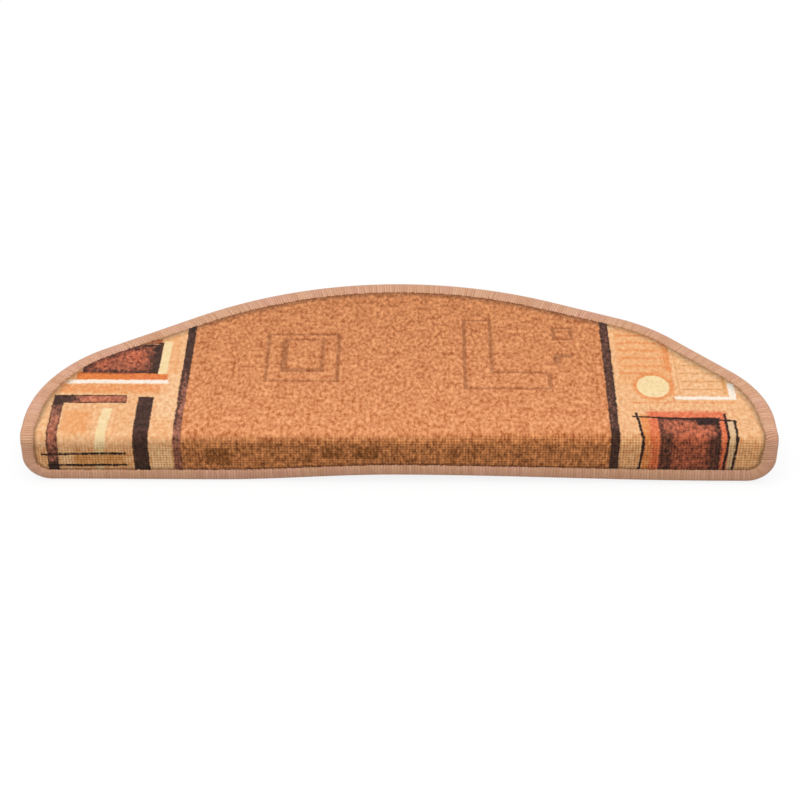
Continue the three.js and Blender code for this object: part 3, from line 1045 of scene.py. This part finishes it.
def paint_pile(material, bars, lines, disc=False):
    """Printed cut pile of dull polyamide: soft mottled colours without a shine."""
    add = cleared(material)
    place, shifted = print_places(add)
    lying = add("VectorMath", place, (1, PILE_LIE, 1), operation="MULTIPLY")
    tufts = spread(add, lying, GRAIN_CELL, *GRAIN_RANGE, GRAIN_DETAIL)
    cloud = spread(add, place, CLOUD_CELL, *GRAIN_RANGE)
    grain = add("Mix", {"Factor": CLOUD_SHARE, "A": tufts, "B": cloud})
    elsewhere = add("VectorMath", lying, FLECK_SHIFT, operation="ADD")
    fleck = spread(add, elsewhere, FLECK_CELL, *GRAIN_RANGE)
    used = {row[0] for row in bars + lines} | ({"apricot", "butter"} if disc else set())
    inks = {name: dyed(add, grain, INKS[name]) for name in sorted(used)}
    cloth = field_and_panels(add, shifted, grain, cloud)
    cloth = with_bars(add, cloth, shifted, fleck, inks, bars)
    if disc:
        cloth = with_disc(add, cloth, shifted, inks)
    cloth = with_bars(add, cloth, shifted, fleck, inks, lines)
    # The carved lines turn dark brown: partly their printed tone, partly shade in the grooves
    # painted in
    carved = add("Attribute", attribute_name="carved").outputs["Fac"]
    carved_ink_and_shade = add("Math", carved, CARVED_SHADE, operation="MULTIPLY")
    cloth = blended(add, carved_ink_and_shade, cloth, srgb(CARVED_INK_AND_SHADE))
    cloth = with_painted_shade(add, cloth, place, grain)
    fibres = add("TexNoise", {"Vector": place, "Scale": 1 / FIBRE_CELL, "Detail": 1.0})
    bump = add("Bump", {"Height": fibres, "Strength": 0.6, "Distance": FIBRE_HEIGHT * MM})
    surface = add(
        "BsdfPrincipled",
        {
            "Base Color": cloth,
            "Roughness": 0.95,
            "Specular IOR Level": 0.15,
            "Sheen Weight": 0.05,
            "Sheen Roughness": 0.6,
            "Normal": bump,
        },
    )
    add("OutputMaterial", surface)
    print(f"{material.name}: {len(material.node_tree.nodes)} nodes")


paint_pile(pile_middle, MIDDLE_BARS, [])
paint_pile(pile_left, LEFT_BARS, LEFT_LINES)
paint_pile(pile_right, RIGHT_BARS, RIGHT_LINES, disc=True)

# %% [markdown]
# ## Anti slip backing
#
# Under the tufts is a woven cloth, coated with latex so that the mat grips the step. The coat is
# spread wet over the cloth and sinks into it, which leaves a dull grey-brown skin with a fine
# square grain. The photograph doesn't show it, so it follows what such mats have.

# %% Latex backing
WEAVE_PITCH = 2.5
WEAVE_DEPTH = 0.25
LATEX_CELL = 9.0  # size of the clouds in the coat
LATEX = ("#7C6F60", "#94887A")


def paint_backing():
    """Latex coat over woven cloth: dull, slightly rubbery, with the square grain of the cloth."""
    add = cleared(latex_backing)
    flat = add("UVMap", uv_map="print_map")
    place = add("VectorMath", flat, {"Scale": 1 / MM}, operation="SCALE")
    cloud = spread(add, place, LATEX_CELL, *GRAIN_RANGE)
    wave = waves(add, place, 2 * math.pi / WEAVE_PITCH)
    raised = add("Math", wave["X"], wave["Y"], operation="MAXIMUM")
    uneven = add("Math", cloud, 0.5, raised, operation="MULTIPLY_ADD")
    bump = add("Bump", {"Height": uneven, "Strength": 0.7, "Distance": WEAVE_DEPTH * MM})
    surface = add(
        "BsdfPrincipled",
        {
            "Base Color": dyed(add, cloud, LATEX),
            "Roughness": 0.75,
            "Specular IOR Level": 0.35,
            "Normal": bump,
        },
    )
    add("OutputMaterial", surface)


paint_backing()

# %% [markdown]
# ## Whipped edge
#
# The edge is whipped: a machine winds thick polyester yarn round the rim, turn beside turn. Each
# turn is real here, because the row of rounded threads gives the edge its ribs and its saw-toothed
# inner line. One turn is modelled as an open loop with few faces, and Geometry Nodes set it along
# the rim at the yarn's spacing, square to the edge everywhere. A thin core under the yarn closes
# the grooves.

# %% One turn of yarn
TURN_SPACING = 2.45
YARN_WIDTH = 3.05
YARN_DEPTH = 1.3
TURN_STATIONS = 14
YARN_SIDES = 5
TURN_OPENING = math.radians(20)  # where the yarn dives into the pile, on either side of the rim
TURN_SQUARENESS = 2.3  # exponent of the superellipse that the yarn follows
PATH_INSET = 0.65
PATH_HEIGHT = BINDING_HEIGHT - 0.5
TIP_SIZE = 0.6  # of the yarn where it dives in

middle_inset = BINDING_WIDTH / 2 + 0.25
middle_height = BINDING_HEIGHT / 2
half_loop = (middle_inset - YARN_DEPTH / 2, middle_height - YARN_DEPTH / 2)


def signed_power(values, power):
    return np.sign(values) * np.abs(values) ** power


def yarn_turn():
    """A closed length of yarn bent round the rim. X leads into the mat, Y along the edge, Z up."""
    angle = np.linspace(TURN_OPENING, 2 * math.pi - TURN_OPENING, TURN_STATIONS)
    power = 2 / TURN_SQUARENESS
    x = middle_inset - PATH_INSET + half_loop[0] * signed_power(np.cos(angle), power)
    z = middle_height - PATH_HEIGHT + half_loop[1] * signed_power(np.sin(angle), power)
    normal = np.column_stack((np.gradient(-z), np.gradient(x)))
    normal *= -1 / np.linalg.norm(normal, axis=1)[:, None]
    size = np.ones(TURN_STATIONS)
    size[[0, -1]] = TIP_SIZE
    points, faces, places = [], [], []
    for side in range(YARN_SIDES):
        around = 2 * math.pi * side / YARN_SIDES
        out = size * YARN_DEPTH / 2 * math.cos(around)
        along = size * YARN_WIDTH / 2 * math.sin(around)
        points.append(np.column_stack((x + normal[:, 0] * out, along, z + normal[:, 1] * out)))
    for side in range(YARN_SIDES):
        here = side * TURN_STATIONS
        there = (side + 1) % YARN_SIDES * TURN_STATIONS
        for station in range(TURN_STATIONS - 1):
            after = station + 1
            faces.append([here + station, there + station, there + after, here + after])
            low, high = station / (TURN_STATIONS - 1), after / (TURN_STATIONS - 1)
            first, second = side / YARN_SIDES, (side + 1) / YARN_SIDES
            places += [(low, first), (low, second), (high, second), (high, first)]
    for station in (0, TURN_STATIONS - 1):
        cap = [side * TURN_STATIONS + station for side in range(YARN_SIDES)]
        faces.append(cap[::-1] if station == 0 else cap)
        places += [(station / (TURN_STATIONS - 1), side / YARN_SIDES) for side in range(YARN_SIDES)]
    mesh = bpy.data.meshes.new("yarn_turn")
    mesh.from_pydata((np.vstack(points) * MM).tolist(), [], faces)
    mesh.shade_smooth()
    store(mesh, "turn_place", np.array(places), "FLOAT2", "CORNER")
    return mesh


turn = bpy.data.objects.new("yarn_turn", yarn_turn())
print(f"one turn: {len(turn.data.polygons)} faces")

# %% Rim and core
JOIN_WIDTH = 7.0  # half of the length over which the yarn's end is sewn over its start
JOIN_AHEAD = 4.0  # how far before the fold line it lies, at the right end
CORE_END = BINDING_WIDTH - 1.6
CORE_PROFILE = [
    (CORE_END, 0.75),
    (3.25, 0.55),
    (1.3, 1.3),
    (0.55, 3.25),
    (1.3, 5.2),
    (3.25, 5.95),
    (CORE_END - 0.8, 5.75),
    (CORE_END, 5.35),
    (2.0, 5.3),
    (2.0, 1.2),
]


def folded_ring(inset, height):
    """A ring of the outline on the folded mat, in metres, and the ways out of and into the mat."""
    ring = cut_line(inset)
    points, outward = fold(ring[:, 0], ring[:, 1], height)
    along = np.stack((outward[:, 0], outward[:, 2], -outward[:, 1]), axis=-1)
    inward = along * outline[:, 3:4]
    inward[:, 0] = outline[:, 2]
    return points * MM, outward, inward


def rim_path():
    """The line that the turns of yarn stand on, with their directions and the place of the join."""
    points, outward, inward = folded_ring(PATH_INSET, PATH_HEIGHT)
    mesh = bpy.data.meshes.new("rim_path")
    edges = [(i, (i + 1) % ring_count) for i in range(ring_count)]
    mesh.from_pydata(points.tolist(), edges, [])
    store(mesh, "out_of_mat", outward, "FLOAT_VECTOR")
    store(mesh, "into_mat", inward, "FLOAT_VECTOR")
    store(mesh, "reach", yarn_reach(outline))
    from_join = np.hypot(points[:, 0] / MM - HALF_WIDTH, points[:, 1] / MM - FOLD_Y + JOIN_AHEAD)
    store(mesh, "join", np.clip(1 - from_join / JOIN_WIDTH, 0, 1))
    return mesh


def yarn_core():
    rings = [folded_ring(inset, height)[0] for inset, height in CORE_PROFILE]
    faces = []
    for ring in range(len(rings)):
        after = (ring + 1) % len(rings)
        faces += stitched(ring * ring_count, after * ring_count, ring_count)
    mesh = bpy.data.meshes.new("yarn_core")
    mesh.from_pydata(np.vstack(rings).tolist(), [], faces)
    mesh.shade_smooth()
    share = (np.arange(len(faces)) % ring_count) / ring_count
    band = (np.arange(len(faces)) // ring_count) / len(rings)
    step, height = 1 / ring_count, 1 / len(rings)
    corners = [(0, 0), (step, 0), (step, height), (0, height)]
    places = np.array([[share + a, band + b] for a, b in corners]).transpose(2, 0, 1)
    places = places * [1, CORE_STRIP * 0.9] + [0, 1 - CORE_STRIP]
    store_map(mesh, "OFBake", places)
    return mesh


# %% Whipping tree
LEAN = math.radians(1.2)
JOIN_LEAN = math.radians(24)
RAGGEDNESS = 0.04  # how unevenly far in the turns reach
THINNEST, THICKEST = 0.985, 1.02  # turns, as shares of the yarn's size
BAKE_COLUMNS = 31
CORE_STRIP = 0.03  # of the bake map's height
CELL_SHARE = 0.92  # of a cell of the bake map that a turn takes up
polyester_yarn = bpy.data.materials.new("polyester_whipping_yarn")


def whipping():
    tree, add, given = new_tree(
        "whipping",
        "GeometryNodeTree",
        [
            ("Rim", "Geometry", None),
            ("Turn", "Object", None),
            ("Core", "Object", None),
            ("Turn spacing", "Float", TURN_SPACING * MM),
            ("Lean", "Float", LEAN),
            ("Join lean", "Float", JOIN_LEAN),
            ("Seed", "Int", SEED),
        ],
        ("Binding", "Geometry"),
    )
    line = add("GeometryNodeMeshToCurve", given["Rim"])
    spaced = add(
        "GeometryNodeResampleCurve", {"Curve": line, "Length": given["Turn spacing"]}, mode="LENGTH"
    )
    index = add("GeometryNodeInputIndex")
    stored = {"Geometry": spaced, "Name": "turn_index", "Value": index}
    numbered = add("GeometryNodeStoreNamedAttribute", stored)
    tint = add("FunctionNodeRandomValue", {"Seed": given["Seed"]}, data_type="FLOAT")
    stored = {"Geometry": numbered, "Name": "turn_tint", "Value": tint}
    tinted = add("GeometryNodeStoreNamedAttribute", stored)
    square = add(
        "FunctionNodeAxesToRotation",
        {
            "Primary Axis": attribute(add, "out_of_mat", "FLOAT_VECTOR"),
            "Secondary Axis": attribute(add, "into_mat", "FLOAT_VECTOR"),
        },
        primary_axis="Z",
        secondary_axis="X",
    )
    seed = given["Seed"]
    least = add("Math", given["Lean"], -1.0, operation="MULTIPLY")
    bounds = {"Min": least, "Max": given["Lean"], "Seed": seed}
    chance = add("FunctionNodeRandomValue", bounds, data_type="FLOAT")
    leaning = add(
        "Math", attribute(add, "join"), given["Join lean"], chance, operation="MULTIPLY_ADD"
    )
    about_z = add("CombineXYZ", {"Z": leaning})
    lean = add("FunctionNodeEulerToRotation", about_z)
    turned = add(
        "FunctionNodeRotateRotation",
        {"Rotation": square, "Rotate By": lean},
        rotation_space="LOCAL",
    )
    shape = add("GeometryNodeObjectInfo", given["Turn"]).outputs["Geometry"]
    bounds = {"Min": THINNEST, "Max": THICKEST, "Seed": seed}
    size = add("FunctionNodeRandomValue", bounds, data_type="FLOAT")
    other_seed = add("Math", seed, 1.0, operation="ADD")
    bounds = {"Min": 1 - RAGGEDNESS, "Max": 1 + RAGGEDNESS, "Seed": other_seed}
    ragged = add("FunctionNodeRandomValue", bounds, data_type="FLOAT")
    inwards = add("Math", ragged, attribute(add, "reach"), operation="MULTIPLY")
    sizes = add("CombineXYZ", {"X": inwards, "Y": size, "Z": size})
    wound = add(
        "GeometryNodeInstanceOnPoints",
        {"Points": tinted, "Instance": shape, "Rotation": turned, "Scale": sizes},
    )
    real = add("GeometryNodeRealizeInstances", wound)
    number = attribute(add, "turn_index")
    row = add("Math", number, BAKE_COLUMNS, operation="DIVIDE")
    whole_row = add("Math", row, operation="FLOOR")
    column = add("Math", number, BAKE_COLUMNS, operation="MODULO")
    cell = add("CombineXYZ", {"X": column, "Y": whole_row})
    in_cell = add(
        "VectorMath",
        attribute(add, "turn_place", "FLOAT_VECTOR"),
        (CELL_SHARE, CELL_SHARE, 0),
        cell,
        operation="MULTIPLY_ADD",
    )
    cell_size = (1 / BAKE_COLUMNS, (1 - CORE_STRIP) / (BAKE_COLUMNS - 1), 0)
    bake = add("VectorMath", in_cell, cell_size, operation="MULTIPLY")
    mapped = add(
        "GeometryNodeStoreNamedAttribute",
        {"Geometry": real, "Name": "OFBake", "Value": bake},
        data_type="FLOAT2",
        domain="CORNER",
    )
    core = add("GeometryNodeObjectInfo", given["Core"]).outputs["Geometry"]
    joined = add("GeometryNodeJoinGeometry", mapped)
    tree.links.new(core, joined.inputs["Geometry"])
    dressed = add("GeometryNodeSetMaterial", {"Geometry": joined, "Material": polyester_yarn})
    add("NodeGroupOutput", dressed)
    return tree


core = bpy.data.objects.new("yarn_core", yarn_core())
rim = bpy.data.objects.new("rim_path", rim_path())
scene.collection.objects.link(rim)
binding = plain_mesh(rim, whipping(), "whipped_binding", {"Turn": turn, "Core": core})
for helper in (turn, core):
    bpy.data.objects.remove(helper)

# %% [markdown]
# ## Whipping yarn
#
# The yarn is textured polyester of many fine filaments, dyed a warm beige. It has a soft silky
# sheen, which a moderate roughness and a little sheen give. Each turn differs slightly from the
# next in tint, and fine lines run along it with the twist of the filaments.

# %% Polyester yarn
YARN = ("#C8906C", "#E4B490")
YARN_PINK = ("#D09482", "#EAB6A4")  # where the dye took more red
PINK_CELL = 28.0
PINK_RANGE = (0.4, 0.7)  # of the noise that sets where
PINK_SHARE = 0.42  # at most
FUZZ_CELL = 0.6
FILAMENTS = 9  # bundles of filaments round the yarn that show
FILAMENT_TWIST = 3.0
FILAMENT_DEPTH = 0.1


def paint_yarn():
    """Textured polyester yarn: a soft silky thread, with fine lines along its twist."""
    add = cleared(polyester_yarn)
    tint = add("Attribute", attribute_name="turn_tint").outputs["Fac"]
    place = add("Attribute", attribute_name="turn_place").outputs["Vector"]
    way = add("SeparateXYZ", place).outputs
    around = add("Math", way["Y"], FILAMENTS, operation="MULTIPLY")
    twisted = add("Math", way["X"], FILAMENT_TWIST * FILAMENTS, around, operation="MULTIPLY_ADD")
    phase = add("Math", twisted, 2 * math.pi, operation="MULTIPLY")
    strands = add("Math", phase, operation="SINE")
    where = add("TexCoord").outputs["Object"]
    fuzz = spread(add, where, FUZZ_CELL * MM, *GRAIN_RANGE)
    shade = add("Math", tint, 0.5, operation="MULTIPLY")
    shade = add("Math", fuzz, 0.5, shade, operation="MULTIPLY_ADD")
    pinkish = spread(add, where, PINK_CELL * MM, *PINK_RANGE)
    pink = add("Math", pinkish, PINK_SHARE, operation="MULTIPLY")
    colour = blended(add, pink, dyed(add, shade, YARN), dyed(add, shade, YARN_PINK))
    height = add("Math", strands, 0.5, fuzz, operation="MULTIPLY_ADD")
    bump = add("Bump", {"Height": height, "Strength": 0.5, "Distance": FILAMENT_DEPTH * MM})
    surface = add(
        "BsdfPrincipled",
        {
            "Base Color": colour,
            "Roughness": 0.7,
            "Specular IOR Level": 0.3,
            "Sheen Weight": 0.15,
            "Sheen Roughness": 0.5,
            "Normal": bump,
        },
    )
    add("OutputMaterial", surface)


paint_yarn()

# %% [markdown]
# ## Fitting the pieces to the frame
#
# Each piece takes the place of the imported solid that it stands for, which is hidden, and rides on
# the mat's one body.

for piece, node, slot in (
    (carpet, "carpet", "printed_pile"),
    (binding, "edge_binding", "binding_yarn"),
):
    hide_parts(node)
    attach(piece, "root")
